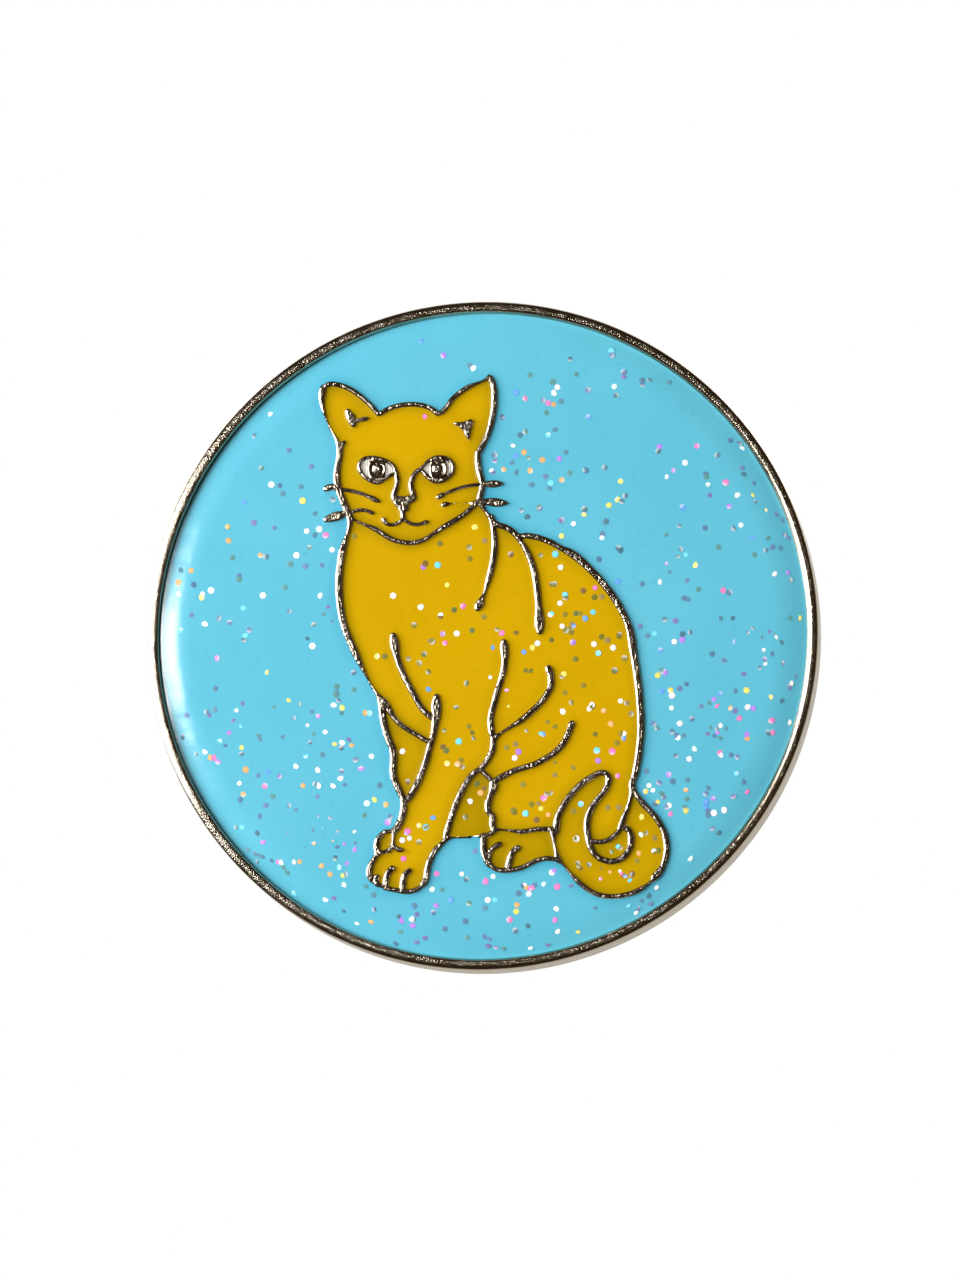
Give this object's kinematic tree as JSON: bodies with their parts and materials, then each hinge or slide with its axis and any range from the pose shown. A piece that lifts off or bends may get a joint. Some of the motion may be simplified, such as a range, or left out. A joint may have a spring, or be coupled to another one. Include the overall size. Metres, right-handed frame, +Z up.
{
  "type": "enamel pin",
  "caption": "Round soft-enamel lapel pin: a sitting cat in raised metal lines on a glitter ground, held to cloth by back posts and butterfly clutches whose wings squeeze to release.",
  "frame": {"origin": "middle of the flat back face of the struck base, between the two posts", "axes": "+Z up as the pin is worn, +X to the viewer's right when looking at the face, +Y out of the back face along the posts; the enamelled face looks along -Y"},
  "size_m": [0.032, 0.0102, 0.032],
  "materials": {
    "struck_nickel": "polished nickel plate on the struck base",
    "blue_enamel": "glossy soft enamel with glitter",
    "yellow_enamel": "glossy soft enamel with glitter",
    "white_enamel": "glossy soft enamel",
    "post_steel": "plated steel",
    "clutch_nickel": "nickel-plated pressed brass",
    "spring_steel": "bright spring wire"
  },
  "bodies": {
    "pin": {"struck_base": "struck_nickel", "background_enamel": "blue_enamel", "head_enamel": "yellow_enamel", "body_enamel": "yellow_enamel", "far_leg_enamel": "yellow_enamel", "far_paw_enamel": "yellow_enamel", "belly_enamel": "yellow_enamel", "hind_paw_enamel": "yellow_enamel", "tail_enamel": "yellow_enamel", "tail_curl_enamel": "yellow_enamel", "left_eye_outer_enamel": "white_enamel", "left_eye_inner_enamel": "white_enamel", "right_eye_inner_enamel": "white_enamel", "right_eye_outer_enamel": "white_enamel", "left_post": "post_steel", "right_post": "post_steel"},
    "left_clutch": {"left_clutch_disc": "clutch_nickel", "left_clutch_frame": "clutch_nickel", "left_clutch_spring": "spring_steel"},
    "left_clutch_right_wing": {"left_clutch_right_wing": "clutch_nickel"},
    "left_clutch_left_wing": {"left_clutch_left_wing": "clutch_nickel"},
    "right_clutch": {"right_clutch_disc": "clutch_nickel", "right_clutch_frame": "clutch_nickel", "right_clutch_spring": "spring_steel"},
    "right_clutch_right_wing": {"right_clutch_right_wing": "clutch_nickel"},
    "right_clutch_left_wing": {"right_clutch_left_wing": "clutch_nickel"}
  },
  "joints": [
    {"name": "left_clutch_slide", "type": "slide", "parent": "pin", "child": "left_clutch", "axis": [0, 1, 0], "range_m": [0, 0.0075]},
    {"name": "left_clutch_right_wing_squeeze", "type": "hinge", "parent": "left_clutch", "child": "left_clutch_right_wing", "pos_m": [-0.0063, 0.00485, 0], "axis": [0, 0, 1], "range_deg": [0, 15], "stiffness_Nm_per_rad": 0.005},
    {"name": "left_clutch_left_wing_squeeze", "type": "hinge", "parent": "left_clutch", "child": "left_clutch_left_wing", "pos_m": [-0.0097, 0.00485, 0], "axis": [0, 0, -1], "range_deg": [0, 15], "stiffness_Nm_per_rad": 0.005},
    {"name": "right_clutch_slide", "type": "slide", "parent": "pin", "child": "right_clutch", "axis": [0, 1, 0], "range_m": [0, 0.0075]},
    {"name": "right_clutch_right_wing_squeeze", "type": "hinge", "parent": "right_clutch", "child": "right_clutch_right_wing", "pos_m": [0.0097, 0.00485, 0], "axis": [0, 0, 1], "range_deg": [0, 15], "stiffness_Nm_per_rad": 0.005},
    {"name": "right_clutch_left_wing_squeeze", "type": "hinge", "parent": "right_clutch", "child": "right_clutch_left_wing", "pos_m": [0.0063, 0.00485, 0], "axis": [0, 0, -1], "range_deg": [0, 15], "stiffness_Nm_per_rad": 0.005}
  ],
  "couplings": [
    {"joint": "left_clutch_left_wing_squeeze", "follows": "left_clutch_right_wing_squeeze", "ratio": 1},
    {"joint": "right_clutch_left_wing_squeeze", "follows": "right_clutch_right_wing_squeeze", "ratio": 1}
  ]
}
